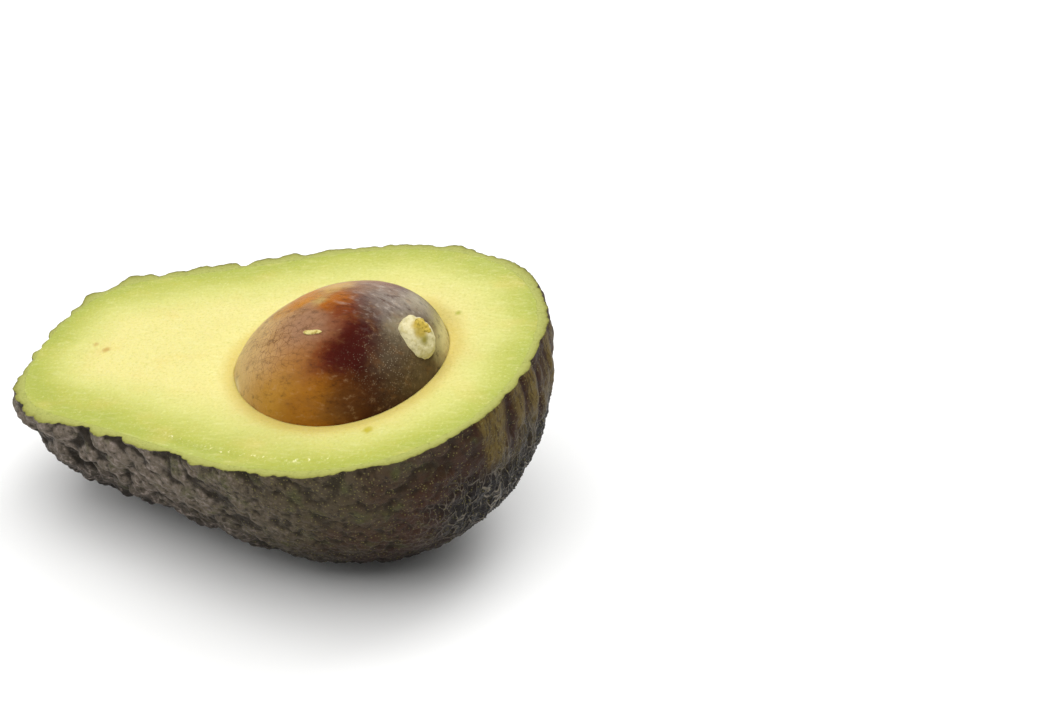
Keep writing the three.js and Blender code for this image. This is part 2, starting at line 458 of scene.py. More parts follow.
def sharpen(edges):
    """Keeps the shading of the two sides of a ring of edges apart."""
    for edge in edges:
        edge.smooth = False


def add_row(bm, edges, place, marks):
    """Extrudes a ring of edges. place gives points for the turns of its vertices round the fruit,
    and marks holds values for layers of the mesh. Returns the edges of the new row."""
    turn = bm.verts.layers.float["turn"]
    made = bmesh.ops.extrude_edge_only(bm, edges=edges)["geom"]
    verts = [item for item in made if isinstance(item, bmesh.types.BMVert)]
    move_verts(verts, place(np.array([vert[turn] for vert in verts])))
    for layer, value in marks.items():
        for vert in verts:
            vert[layer] = value
    fresh = set(verts)
    return [item for item in made if isinstance(item, bmesh.types.BMEdge) and fresh.issuperset(item.verts)]


def tilts(rows):
    """Tilts below the cut plane for the rows of a bowl."""
    return [math.radians(LAST_TILT * (row + 1) / rows) for row in range(rows)]


def down_bowl(tilt, inset):
    """Gives the points of a row of a smooth bowl, at a tilt and under the fruit's surface."""
    def place(turns):
        lowered = rim_directions(turns) * math.cos(tilt) - (0, 0, math.sin(tilt))
        return inset_points(lowered, inset)
    return place


def close_row(bm, edges):
    """Draws the last ring of a row together to one point."""
    verts = list({vert for edge in edges for vert in edge.verts})
    middle = sum((vert.co for vert in verts), Vector()) / len(verts)
    bmesh.ops.pointmerge(bm, verts=verts, merge_co=middle)


def write_attribute(mesh, name, values):
    """Stores a number or a vector for each vertex, for the material to read."""
    kind, field = ("FLOAT_VECTOR", "vector") if np.ndim(values) == 2 else ("FLOAT", "value")
    attribute = mesh.attributes.new(name, kind, "POINT")
    attribute.data.foreach_set(field, np.ascontiguousarray(values, np.float32).ravel())


def add_object(name, data):
    """Adds an object with its data to the scene."""
    made = bpy.data.objects.new(name, data)
    bpy.context.scene.collection.objects.link(made)
    return made


def finish_piece(bm, name, material, nodes=(), attributes=None, matrix=None):
    """Turns a bmesh in the fruit's frame, or one that a matrix lays in the row's, into a piece. Its
    own coordinates, in millimetres, are kept as the attribute place, which the materials read. What
    reaches below the table is lifted onto it."""
    marks = {"place": positions(bm), **(attributes or {})}
    bmesh.ops.transform(bm, matrix=matrix or row_matrix(), verts=bm.verts)
    for vert in bm.verts:
        vert.co.z = max(vert.co.z, 0)
    bmesh.ops.recalc_face_normals(bm, faces=bm.faces)
    for face in bm.faces:
        face.smooth = True
    layers = bm.verts.layers.float
    for key in layers.keys():
        layers.remove(layers[key])
    mesh = bpy.data.meshes.new(name)
    bm.to_mesh(mesh)
    bm.free()
    for key, values in marks.items():
        write_attribute(mesh, key, values)
    mesh.materials.append(material)
    piece = add_object(name, mesh)
    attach(piece, "root")
    if nodes:
        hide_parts(*nodes)


# Node trees


def rgba(colour):
    """A colour with its alpha, from its three linear parts or from an sRGB hex code."""
    return (*(linear(colour) if isinstance(colour, str) else colour), 1)


def fill_inputs(tree, node, links):
    """Gives inputs of a node, by name or number, a value or the output of another node."""
    for name, value in links.items():
        socket = node.inputs[name]
        if isinstance(value, bpy.types.NodeSocket):
            tree.links.new(value, socket)
        else:
            socket.default_value = rgba(value) if socket.type == "RGBA" else value


def add_node(tree, kind, links, output=0, stops=(), **settings):
    """Adds a shader node with its inputs and settings, and returns one of its outputs. stops gives
    the places and colours of a ramp."""
    node = tree.nodes.new("ShaderNode" + kind)
    for name, value in settings.items():
        setattr(node, name, value)
    fill_inputs(tree, node, links)
    for number, (place, colour) in enumerate(stops):
        elements = node.color_ramp.elements
        element = elements[number] if number < 2 else elements.new(place)
        element.position = place
        element.color = rgba(colour)
    return node.outputs[output]


def new_material(name, *marks):
    """A material, its tree, its surface shader, and what it reads from attributes of the mesh."""
    material = bpy.data.materials.new(name)
    material.use_nodes = True
    tree = material.node_tree
    outputs = ["Vector" if mark in ("place", "streak", "unit") else "Fac" for mark in marks]
    read = [add_node(tree, "Attribute", {}, o, attribute_name=m) for o, m in zip(outputs, marks)]
    return material, tree, tree.nodes["Principled BSDF"], *read


def coat(tree, under, colour, value, low=0.0, high=1.0, share=1.0):
    """Lays a colour over another by a share that grows smoothly as a value goes from low to high."""
    links = {"Value": value, "From Min": low, "From Max": high, "To Max": share}
    mask = add_node(tree, "MapRange", links, interpolation_type="SMOOTHSTEP")
    return add_node(tree, "Mix", {0: mask, 6: under, 7: colour}, 2, data_type="RGBA")


def round_mask(tree, place, centre, reach, feather):
    """1 in a round patch about a centre, 0 outside it, with a soft edge."""
    away = add_node(tree, "VectorMath", {0: place, 1: centre}, "Value", operation="DISTANCE")
    links = {"Value": away, "From Min": reach + feather, "From Max": reach - feather}
    return add_node(tree, "MapRange", links)


def patch(tree, under, colour, place, centre, reach, feather, share=1.0):
    """Lays a colour over another in a round patch."""
    return coat(tree, under, colour, round_mask(tree, place, centre, reach, feather), share=share)


def pattern(tree, place, size, detail=2.0, stretch=(1, 1, 1), roughness=0.5):
    """Noise from 0 to 1 with features about a size wide, in millimetres, drawn out by a stretch."""
    scale = [1 / (size * s) for s in stretch]
    mapped = add_node(tree, "Mapping", {"Vector": place, "Scale": scale})
    links = {"Vector": mapped, "Scale": 1, "Detail": detail, "Roughness": roughness}
    return add_node(tree, "TexNoise", links, "Fac")


def stirred(tree, place, size, reach):
    """A place moved about by noise, so that a pattern on it has marbled edges."""
    links = {"Vector": place, "Scale": 1 / size, "Detail": 5, "Roughness": 0.6}
    swirl = add_node(tree, "TexNoise", links, "Color")
    centred = add_node(tree, "VectorMath", {0: swirl, 1: (0.5,) * 3}, operation="SUBTRACT")
    links = {0: centred, 1: (reach,) * 3, 2: place}
    return add_node(tree, "VectorMath", links, operation="MULTIPLY_ADD")


# The skin

PALE_MOTTLE = "#8d8077"
MOSS = "#474a24"
PAINTED_BELLY_SHADE = "#100a07"
RIB_GAP = "#351d11"
STRAND_GAP = "#2b1a0d"
NET_GROUND_AND_SHADE = "#0b0706"
WRINKLE_TOP_HIGHLIGHT = "#4a4038"
THREAD_GLINT = "#8a8173"
CUT_LINE = "#66652f"
PEEL_FLECK = "#7d8040"
SKIN_MARKS = ("cut", "relief", "net", "rib", "netted")


def ground_colour(tree, settings, place, along):
    """The skin's colour: grey wax at the stem end, olive at mid-length, russet low on the broad
    end, with patches of moss green, and painted shade that turns it close to black under the belly."""
    up = add_node(tree, "SeparateXYZ", {0: place}, "Z")
    colour = coat(tree, settings.waxy, settings.olive, along, 45, 84)
    low = add_node(tree, "Math", {0: up, 1: -0.9, 2: along}, operation="MULTIPLY_ADD")
    colour = coat(tree, colour, settings.russet, low, 94, 116)
    colour = coat(tree, colour, MOSS, pattern(tree, place, 4.0, 3.0), 0.52, 0.75, 0.6)
    # Painted shade: the skin is darkened close to black low under the belly, where the floor's shade falls.
    belly_shade_level = add_node(tree, "Math", {0: along, 1: 0.2, 2: up}, operation="MULTIPLY_ADD")
    return coat(tree, colour, PAINTED_BELLY_SHADE, belly_shade_level, 4, -15, 0.95)


def mottled_colour(tree, settings, under, place, along, relief):
    """Pale grey mottling at the stem end, and dark valleys, partly the skin's own colour and partly
    painted shade in the creases, that fade towards the broad end.
    """
    stemward = add_node(tree, "MapRange", {"Value": along, "From Min": 88, "From Max": 50})
    mottle = pattern(tree, place, 1.1, 4.0, roughness=0.65)
    colour = coat(tree, under, PALE_MOTTLE, mottle, 0.5, 0.7, stemward)
    links = {"Value": along, "From Min": 100, "From Max": 64, "To Min": 0.55, "To Max": 0.85}
    crease_shade_share = add_node(tree, "MapRange", links)
    # Partly the skin's own dark colour and partly painted shade: the valley colour is laid where the relief
    # is lowest, in the creases.
    colour = coat(tree, colour, settings.valley, relief, 0.1, -0.34, crease_shade_share)
    return coat(tree, colour, settings.valley, mottle, 0.5, 0.3, 0.75)


def ribbed_colour(tree, settings, under, streak, rib):
    """Broad olive ribs with red-brown gaps, made up of fine strands."""
    colour = coat(tree, under, RIB_GAP, rib, 0.02, 0.25, 0.7)
    colour = coat(tree, colour, settings.rib, rib, 0.25, 0.85, 0.8)
    strands = pattern(tree, streak, 0.55, 3.0, roughness=0.6)
    links = {"Value": rib, "From Min": 0, "From Max": 0.3, "To Max": 0.7}
    ribbed = add_node(tree, "MapRange", links)
    return coat(tree, colour, STRAND_GAP, strands, 0.56, 0.36, ribbed)


def netted_colour(tree, under, net, netted, threads):
    """A near-black ground, partly the skin's own dark colour and partly painted shade, with painted
    highlights that pale the tops of its wrinkles and thin painted glints along its threads.
    """
    # Partly the skin's own dark colour and partly painted shade: the near-black ground of the net.
    colour = coat(tree, under, NET_GROUND_AND_SHADE, netted, 0.1, 0.7, 0.94)
    # Painted highlight on the tops of the wrinkles.
    colour = coat(tree, colour, WRINKLE_TOP_HIGHLIGHT, net, 0.55, 1.0, 0.4)
    # Painted glints along the thin threads.
    return coat(tree, colour, THREAD_GLINT, threads, 0.05, 0.0, netted)


def pored_colour(tree, settings, under, place, along):
    """Pale pores, from mid-length on."""
    pores = add_node(tree, "TexVoronoi", {"Vector": place, "Scale": 1.7}, "Distance")
    links = {"Value": along, "From Min": 48, "From Max": 75, "To Max": 0.65}
    broadward = add_node(tree, "MapRange", links)
    return coat(tree, under, settings.lenticel, pores, 0.3, 0.08, broadward)


def peel_colour(tree, settings, place, depth):
    """The cut peel: a dark line under the skin, then olive that pales towards the flesh."""
    flecks = pattern(tree, place, 0.9, 3.0)
    wander = add_node(tree, "Math", {0: flecks, 1: 0.5, 2: depth}, operation="MULTIPLY_ADD")
    stops = [
        (0.26, CUT_LINE), (0.38, settings.rind), (0.7, settings.pith), (0.88, settings.pith),
        (1.0, settings.inner),
    ]
    colour = add_node(tree, "ValToRGB", {0: wander}, stops=stops)
    return coat(tree, colour, PEEL_FLECK, flecks, 0.5, 0.72, 0.4)


def skin_material(settings, peel):
    """Fresh fruit skin, grown: a thick, pebbled, leathery rind with a dull wax. The eye sees grey-brown
    lumps that catch the light over dark olive valleys, pale pores, and a ribbed, russet broad end."""
    material, tree, shader, place, streak, cut, relief, net, rib, netted = new_material(
        "avocado rind, grown", "place", "streak", *SKIN_MARKS
    )
    drift = pattern(tree, place, 7.0, 3.0)
    length = add_node(tree, "SeparateXYZ", {0: place}, "X")
    along = add_node(tree, "Math", {0: drift, 1: 30, 2: length}, operation="MULTIPLY_ADD")
    links = {"Vector": streak, "Scale": 0.7}
    threads = add_node(tree, "TexVoronoi", links, "Distance", feature="DISTANCE_TO_EDGE")
    colour = ground_colour(tree, settings, place, along)
    colour = mottled_colour(tree, settings, colour, place, along, relief)
    colour = ribbed_colour(tree, settings, colour, streak, rib)
    colour = netted_colour(tree, colour, net, netted, threads)
    colour = pored_colour(tree, settings, colour, place, along)
    colour = coat(tree, colour, peel_colour(tree, peel, place, cut), cut, 0.0, 0.05)
    dull = add_node(tree, "MapRange", {"Value": netted, "To Min": 0.56, "To Max": 0.36})
    links = {"Value": threads, "From Min": 0.12, "From Max": 0.0, "To Max": netted}
    ridge = add_node(tree, "MapRange", links)
    fine = pattern(tree, place, 0.6, 4.0, roughness=0.6)
    height = add_node(tree, "Math", {0: ridge, 1: fine}, operation="ADD")
    bump = add_node(tree, "Bump", {"Height": height, "Distance": 0.28 * MM})
    finish = {"Base Color": colour, "Roughness": dull, "IOR": 1.45, "Specular IOR Level": 0.15}
    fill_inputs(tree, shader, {**finish, "Normal": bump})
    return material


def mark_verts(bm, marks):
    """Keeps a value for each vertex in a layer for each mark."""
    for name, values in marks.items():
        layer = bm.verts.layers.float.new(name)
        for vert, value in zip(bm.verts, values.tolist()):
            vert[layer] = value


def skin_mesh(grain):
    """The rind: a rough bowl, the cut edge of the peel, and a plain lining behind the flesh."""
    bm = half_sphere(SKIN_DETAIL)
    directions = positions(bm)
    points = fruit_points(directions)
    normals = normals_of(fruit_level, points)
    normals[np.abs(directions[:, 2]) < 1e-6, 2] = 0
    coarse = coarse_relief(points)
    fine, net, rib, netted = fine_relief(points, directions)
    move_verts(bm.verts, points + normals * (coarse + grain * fine)[:, None])
    turns = np.arctan2(directions[:, 1], directions[:, 0])
    marks = {"relief": 0.45 * coarse + fine, "net": net, "rib": rib, "netted": netted}
    mark_verts(bm, {"turn": turns, "cut": np.zeros(len(points)), **marks})
    cut = bm.verts.layers.float["cut"]

    def across_peel(share):
        """A row of the cut peel, which is a little rough, part of the way to the flesh."""
        def place(turns):
            flat = rim_directions(turns)
            outer = fruit_points(flat)
            normal = normals_of(fruit_level, outer)
            normal[:, 2] = 0
            rough = coarse_relief(outer) + grain * fine_relief(outer, flat)[0]
            inset = share * peel_width(turns) - (1 - share) * rough
            found = outer - normal * inset[:, None]
            found[:, 2] += share * rim_lift(found) + 0.08 * noise_at(found, 0.8) * math.sin(math.pi * share)
            return found
        return place

    edges = [edge for edge in bm.edges if edge.is_boundary]
    sharpen(edges)
    for share in PEEL_ROWS:
        edges = add_row(bm, edges, across_peel(share), {cut: share})
    sharpen(edges)
    for tilt in tilts(LINING_ROWS):
        edges = add_row(bm, edges, down_bowl(tilt, PEEL), {cut: 1.0})
    close_row(bm, edges)
    return bm


class AVOCADO_OT_skin(Operator):
    """Makes the rind with the cut edge of its peel"""
    bl_idname = "avocado.skin"
    bl_label = "Skin"

    def execute(self, context):
        settings = context.scene.avocado_skin
        bm = skin_mesh(settings.grain)
        marks = {name: layer_values(bm, name) for name in SKIN_MARKS}
        marks["streak"] = streak_places(positions(bm))
        material = skin_material(settings, context.scene.avocado_peel)
        finish_piece(bm, "rind", material, ["skin"], marks)
        return {"FINISHED"}


# The flesh


def egg_points(directions, growth=0.0):
    """Points of the seed, in its own frame, that directions of the unit sphere stand for."""
    swell = 1 + SEED_EGG * directions[:, 0]
    radii = (SEED_RADII + growth) * np.stack((np.ones_like(swell), swell, swell), 1)
    return directions * radii


def egg_directions(points):
    """The directions that points on or near the seed stand for."""
    along = points[:, 0] / SEED_RADII[0]
    swell = 1 + SEED_EGG * along
    radii = SEED_RADII * np.stack((np.ones_like(swell), swell, swell), 1)
    directions = points / radii
    return directions / np.linalg.norm(directions, axis=1, keepdims=True)


def egg_level(points):
    """0 on the seed's surface, in its own frame."""
    along = points[:, 0] / SEED_RADII[0]
    swell = 1 + SEED_EGG * along
    across = (points[:, 1] / SEED_RADII[1]) ** 2 + (points[:, 2] / SEED_RADII[2]) ** 2
    return along ** 2 + across / swell ** 2 - 1


def into_seed(points):
    """Points of the fruit's frame in the seed's."""
    inverse = np.array(seed_matrix().inverted())
    return points @ inverse[:3, :3].T + inverse[:3, 3]


def out_of_seed(points):
    """Points of the seed's frame in the fruit's."""
    matrix = np.array(seed_matrix())
    return points @ matrix[:3, :3].T + matrix[:3, 3]


def socket_edge(outer):
    """Where the ways from points of the rim to the middle of the socket meet the seed's surface."""
    middle = np.array((SEED_CENTRE[0], SEED_CENTRE[1], 0.0))
    low = np.zeros(len(outer))
    high = np.ones(len(outer))
    for _ in range(30):
        half = (low + high) / 2
        outside = egg_level(into_seed(middle + (outer - middle) * half[:, None])) > 0
        high = np.where(outside, half, high)
        low = np.where(outside, low, half)
    away = outer - middle
    clearance = 0.04 / np.linalg.norm(away, axis=1)
    return middle + away * (high + clearance)[:, None]


def flesh_rim(turns):
    return inset_points(rim_directions(turns), peel_width(turns) + 0.02)


def distance_to_outline(points):
    """Distance, in the cut plane, from points to the outline of the whole cut, skin included."""
    outline = fruit_points(rim_directions(np.linspace(0, math.tau, 721)))
    found = [np.sqrt(((point[:2] - outline[:, :2]) ** 2).sum(1).min()) for point in points]
    return np.array(found)


def knife_step(points, inset):
    """1 outside the step that the knife left along the near side of the face, 0 inside it."""
    start, full, fading, end = STEP_ENDS
    along = points[:, 0]
    share = smooth_step(along, start, full) * (1 - smooth_step(along, fading, end)) * (points[:, 1] < 0)
    return share * (1 - smooth_step(inset, STEP_INSET - 0.9, STEP_INSET + 0.5))


def face_height(points, share):
    """How far the cut face stands off its plane: uneven, as a knife and a twist leave it."""
    inset = distance_to_outline(points)
    height = 0.2 * noise_at(points * (0.5, 1, 1), 9.0) + 0.05 * noise_at(points, 2.4)
    height -= STEP_DROP * knife_step(points, inset)
    height *= smooth_step(inset, PEEL, FACE_START)
    dip = smooth_step(np.full(len(points), share), DIP_START, 1.0)
    seam = (1 - smooth_step(inset, PEEL, SEAM_END)) * rim_lift(points)
    return height * (1 - dip) - DIP_DEPTH * dip + seam


def across_face(share):
    """Gives the points of a ring of the cut face, part of the way from the peel to the seed."""
    def place(turns):
        outer = flesh_rim(turns)
        found = outer + (socket_edge(outer) - outer) * share
        found[:, 2] = face_height(found, share)
        return found
    return place


def down_socket(share):
    """Gives the points of a ring of the socket, part of the way down to its bottom."""
    def place(turns):
        top = egg_directions(into_seed(socket_edge(flesh_rim(turns))))
        mixed = top * (1 - share) - (0, 0, share)
        mixed /= np.linalg.norm(mixed, axis=1, keepdims=True)
        return out_of_seed(egg_points(mixed, 0.1))
    return place


def flesh_mesh():
    """The flesh: an uneven face with the seed's socket in it, over a smooth bowl."""
    bm = bmesh.new()
    bmesh.ops.create_circle(bm, segments=RIM_STEPS, radius=1)
    turns = np.array([math.atan2(vert.co.y, vert.co.x) for vert in bm.verts])
    mark_verts(bm, {"turn": turns})
    outer = flesh_rim(layer_values(bm, "turn"))
    outer[:, 2] = rim_lift(outer)
    move_verts(bm.verts, outer)
    rim = bm.edges[:]
    edges = rim
    for row in range(FACE_ROWS):
        edges = add_row(bm, edges, across_face((row + 1) / FACE_ROWS), {})
    for row in range(SOCKET_ROWS - 1):
        edges = add_row(bm, edges, down_socket((row + 1) / SOCKET_ROWS), {})
    close_row(bm, edges)
    edges = rim
    sharpen(edges)
    for tilt in tilts(WALL_ROWS):
        edges = add_row(bm, edges, down_bowl(tilt, PEEL + 0.05), {})
    close_row(bm, edges)
    return bm


FIBRE = "#e4dfa4"
CLOUD = "#d8bd6c"
GREEN_GRAIN = "#aaa93e"
PALE_GRAIN = "#e2e0a0"
SOCKET_RIM_SHADE = "#c9ad4c"
GLINT = "#eceab4"

# Bruises and dark specks of the cut face: place in the fruit's frame, radius and colour
FLESH_SPOTS = (
    ((81.5, 13.3, 0), 0.5, "#9da022"), ((78.1, -20.9, 0), 0.8, "#b5a928"),
    ((15.6, -1.7, 0), 0.7, "#b8954c"), ((12.6, -0.2, 0), 0.5, "#bf9f55"),
)


def flesh_colour(tree, settings, place, inset, gap):
    """Green next to the skin, butter yellow round the seed, faint fibres along the fruit, and painted
    shade with a warm cast from the seed in a narrow rim round the socket.
    """
    drift = pattern(tree, place, 9.0, 3.0, (1.6, 1, 1))
    inward = add_node(tree, "Math", {0: drift, 1: 6.0, 2: inset}, operation="MULTIPLY_ADD")
    inward = add_node(tree, "MapRange", {"Value": inward, "From Min": 3, "From Max": 23})
    stops = [
        (0.0, settings.green), (0.12, settings.green), (0.22, settings.lime),
        (0.45, settings.straw), (0.78, settings.butter),
    ]
    colour = add_node(tree, "ValToRGB", {0: inward}, stops=stops)
    colour = coat(tree, colour, FIBRE, pattern(tree, place, 0.9, 4.0, (4, 1, 1)), 0.5, 0.75, 0.22)
    colour = coat(tree, colour, CLOUD, pattern(tree, place, 7.0, 4.0, (1.5, 1, 1)), 0.5, 0.8, 0.3)
    grain = pattern(tree, place, 0.6, 3.0, roughness=0.7)
    colour = coat(tree, colour, GREEN_GRAIN, grain, 0.5, 0.75, 0.4)
    colour = coat(tree, colour, PALE_GRAIN, grain, 0.46, 0.28, 0.35)
    # Painted shade and a painted warm bounce from the seed, darkening the flesh next to the socket.
    return coat(tree, colour, SOCKET_RIM_SHADE, gap, 3.5, 0.2, 0.55)


def flesh_material(settings):
    """Ripe avocado flesh, cut with a knife: dense, oily and moist. The eye sees green next to the
    skin that turns to butter yellow round the seed, with a soft shine and faint fibres."""
    material, tree, shader, place, inset, gap, glint_band = new_material(
        "avocado flesh, cut", "place", "inset", "gap", "glint_band"
    )
    colour = flesh_colour(tree, settings, place, inset, gap)
    moved = stirred(tree, place, 1.0, 0.8)
    for centre, reach, code in FLESH_SPOTS:
        colour = patch(tree, colour, code, moved, centre, reach, 0.5, 0.8)
    # Painted glints: pale flecks along the knife's step.
    colour = coat(tree, colour, GLINT, pattern(tree, place, 0.8, 2.0), 0.58, 0.7, glint_band)
    links = {"Value": pattern(tree, place, 3.0, 3.0), "From Min": 0.35, "From Max": 0.65}
    damp = add_node(tree, "MapRange", {**links, "To Min": 0.4, "To Max": 0.55})
    grain = pattern(tree, place, 0.7, 3.0)
    bump = add_node(tree, "Bump", {"Height": grain, "Distance": 0.14 * MM})
    fill_inputs(tree, shader, {"Base Color": colour, "Roughness": damp, "IOR": 1.4, "Normal": bump})
    depth = {"Weight": 0.2, "Radius": (1.0, 0.8, 0.35), "Scale": 1.5 * MM}
    fill_inputs(tree, shader, {f"Subsurface {name}": value for name, value in depth.items()})
    return material


def flesh_marks(place):
    """What the flesh's colour follows: how far in it lies, how near the socket, and where it glints."""
    face = np.abs(place[:, 2]) < 1
    inset = np.where(face, distance_to_outline(place), PEEL)
    near_stem = smooth_step(-place[:, 1], 5, 15) * (1 - smooth_step(place[:, 0], 45, 70))
    band = 1 - np.clip(np.abs(inset - STEP_INSET) / STEP_GLINT, 0, 1)
    # The band along the knife's step where the glints are painted.
    glint_band = band * knife_step(place, np.zeros(len(place)))
    gap = np.abs(egg_level(into_seed(place))) * SEED_RADII[2] / 2
    return {"inset": inset - 2.2 * near_stem, "gap": gap, "glint_band": glint_band}


class AVOCADO_OT_flesh(Operator):
    """Makes the flesh with its cut face and the socket of the seed"""
    bl_idname = "avocado.flesh"
    bl_label = "Flesh"

    def execute(self, context):
        bm = flesh_mesh()
        material = flesh_material(context.scene.avocado_flesh)
        finish_piece(bm, "flesh_half", material, ["flesh"], flesh_marks(positions(bm)))
        return {"FINISHED"}


# The seed

MARBLE = "#7a5023"
DARK_STREAK = "#230d07"
PALE_STREAK = "#c9a67a"
FILM_AND_SHEEN = "#ada093"
SHOULDER_STREAK_GAP = "#4a2c1e"
CRACK = "#6a4628"
BLOOM = "#8a7c66"
FILM = "#ddd0a2"

# The coat's colours by their place, from 0 at the pointed end, where it is tan, to 1 at the broad end
TAN_END = 0.12
SEED_BANDS = (
    (0.35, "#c09b62"), (0.5, "#ab8050"), (0.63, "#93602c"), (0.72, "#713914"), (0.78, "#4a1408"),
    (0.88, "#300c06"), (0.95, "#3f2a1a"), (1.0, "#54442b"),
)

# Stains of the coat: centre on the unit sphere that stands for the seed, reach and feather on it,
# colour, and strength
SEED_STAINS = (
    ((0.2, -0.3, 0.93), 0.26, 0.2, "#94725c", 0.7),
    ((0.02, -0.92, 0.36), 0.34, 0.24, "#ab791d", 0.85),
    ((0.4, -0.88, 0.22), 0.32, 0.2, "#945d10", 0.9),
    ((0.68, -0.72, 0.18), 0.24, 0.16, "#4e2c10", 0.85),
    ((-0.24, -0.02, 0.97), 0.14, 0.06, "#b47c20", 0.85),
    ((-0.05, 0.14, 0.99), 0.2, 0.05, "#b6761a", 1.0),
    ((0.34, 0.03, 0.94), 0.16, 0.06, "#a45e15", 0.95),
    ((0.15, 0.33, 0.93), 0.17, 0.06, "#bd9446", 0.9),
    ((0.17, 0.04, 0.98), 0.07, 0.06, "#b59a5c", 0.8),
    ((0.46, -0.08, 0.88), 0.15, 0.12, "#6f3316", 0.9),
    ((0.45, 0.42, 0.78), 0.2, 0.14, "#7d5c40", 0.85),
    ((0.68, 0.27, 0.66), 0.24, 0.16, "#82766a", 0.85),
    ((0.75, 0.5, 0.42), 0.18, 0.14, "#a0947a", 0.85),
    ((0.66, -0.03, 0.75), 0.08, 0.07, "#553a2c", 0.8),
    ((0.9, 0.06, 0.42), 0.2, 0.12, "#8f8467", 0.75),
    ((0.88, -0.22, 0.42), 0.18, 0.14, "#544836", 0.8),
    # The pale rim where the seed's broad end meets the flesh is partly the coat's pale edge and partly a
    # painted reflection of the flesh.
    ((0.9, 0.46, -0.05), 0.28, 0.16, "#c9bd84", 0.95),
)


def seed_colour(tree, settings, unit, place):
    """Bands with marbled edges from tan to dark brown, stains and streaks over them, a streaked
    shoulder, partly grey film and partly painted sheen, and the oxblood heart."""
    moved = stirred(tree, stirred(tree, unit, 0.06, 0.09), 0.32, 0.24)
    along = add_node(tree, "SeparateXYZ", {0: moved}, "X")
    along = add_node(tree, "MapRange", {"Value": along, "From Min": -1})
    stops = [(TAN_END, settings.tan), *SEED_BANDS]
    colour = add_node(tree, "ValToRGB", {0: along}, stops=stops)
    for centre, reach, feather, code, strength in SEED_STAINS:
        colour = patch(tree, colour, code, moved, centre, reach, feather, strength)
    marble = pattern(tree, place, 3.0, 5.0, (2, 1, 1), 0.6)
    colour = coat(tree, colour, MARBLE, marble, 0.5, 0.75, 0.4)
    streaks = pattern(tree, place, 1.0, 5.0, (2.5, 1, 1), 0.7)
    colour = coat(tree, colour, DARK_STREAK, streaks, 0.5, 0.72, 0.5)
    colour = coat(tree, colour, PALE_STREAK, streaks, 0.46, 0.26, 0.2)
    shoulder = round_mask(tree, moved, (0.62, 0.28, 0.7), 0.3, 0.22)
    shoulder_streaks = pattern(tree, place, 1.1, 5.0, (5, 1, 1), 0.65)
    # Pale streaks on the shoulder: partly the coat's grey film and partly a painted sheen, where the bright
    # backdrop is mirrored.
    colour = coat(tree, colour, FILM_AND_SHEEN, shoulder_streaks, 0.5, 0.74, shoulder)
    colour = coat(tree, colour, SHOULDER_STREAK_GAP, shoulder_streaks, 0.48, 0.28, shoulder)
    return patch(tree, colour, settings.oxblood, moved, (0.69, -0.38, 0.6), 0.16, 0.16, 0.92)


def seed_material(settings):
    """An avocado seed in its coat, grown: smooth like waxed wood, in patches from tan to oxblood,
    with a dry grey bloom of fine specks on the broad end and fine cracks in the paler part."""
    material, tree, shader, place, unit = new_material("avocado seed coat, grown", "place", "unit")
    colour = seed_colour(tree, settings, unit, place)
    links = {"Vector": stirred(tree, place, 2.0, 1.2), "Scale": 0.8}
    cracks = add_node(tree, "TexVoronoi", links, "Distance", feature="DISTANCE_TO_EDGE")
    cracked = round_mask(tree, unit, (-0.05, -0.45, 0.85), 0.4, 0.3)
    colour = coat(tree, colour, CRACK, cracks, 0.05, 0.0, cracked)
    dry = round_mask(tree, stirred(tree, unit, 0.3, 0.35), (0.9, -0.28, 0.33), 0.28, 0.2)
    specks = add_node(tree, "TexVoronoi", {"Vector": place, "Scale": 2.6}, "Distance")
    colour = coat(tree, colour, BLOOM, specks, 0.34, 0.06, dry)
    film = stirred(tree, unit, 0.1, 0.12)
    colour = patch(tree, colour, FILM, film, (-0.62, -0.68, 0.38), 0.1, 0.08, 0.8)
    dull = add_node(tree, "Math", {0: dry, 1: 0.22, 2: 0.36}, operation="MULTIPLY_ADD")
    grain = pattern(tree, place, 1.0, 5.0, roughness=0.65)
    bump = add_node(tree, "Bump", {"Height": grain, "Distance": 0.14 * MM})
    finish = {"Base Color": colour, "Roughness": dull, "IOR": 1.45, "Specular IOR Level": 0.12}
    fill_inputs(tree, shader, {**finish, "Normal": bump})
    return material


class AVOCADO_OT_seed(Operator):
    """Makes the seed in its coat"""
    bl_idname = "avocado.seed"
    bl_label = "Seed"

    def execute(self, context):
        bm = bmesh.new()
        bmesh.ops.create_icosphere(bm, subdivisions=SEED_DETAIL, radius=1)
        unit = positions(bm)
        points = egg_points(unit)
        relief = uneven(points, SEED_WAVES)
        move_verts(bm.verts, points + normals_of(egg_level, points) * relief[:, None])
        material = seed_material(context.scene.avocado_seed)
        marks = {"unit": unit, "place": points}
        finish_piece(bm, "seed_in_coat", material, ["seed"], marks, row_matrix() @ seed_matrix())
        return {"FINISHED"}


# The scar and what sticks to the seed


def on_seed(direction, turn=0.0, sink=0.0):
    """Lays a frame in the row's frame, on the seed in a direction, with Z out of its surface and X
    along the seed, turned about Z."""
    unit = Vector(direction).normalized()
    point = egg_points(np.array([unit]))
    out = Vector(normals_of(egg_level, point)[0])
    along = (Vector((1, 0, 0)) - out * out.x).normalized()
    frame = Matrix((along, out.cross(along), out)).transposed().to_4x4()
    frame = Matrix.Translation(Vector(point[0]) - out * sink) @ frame @ Matrix.Rotation(turn, 4, "Z")
    return row_matrix() @ seed_matrix() @ frame


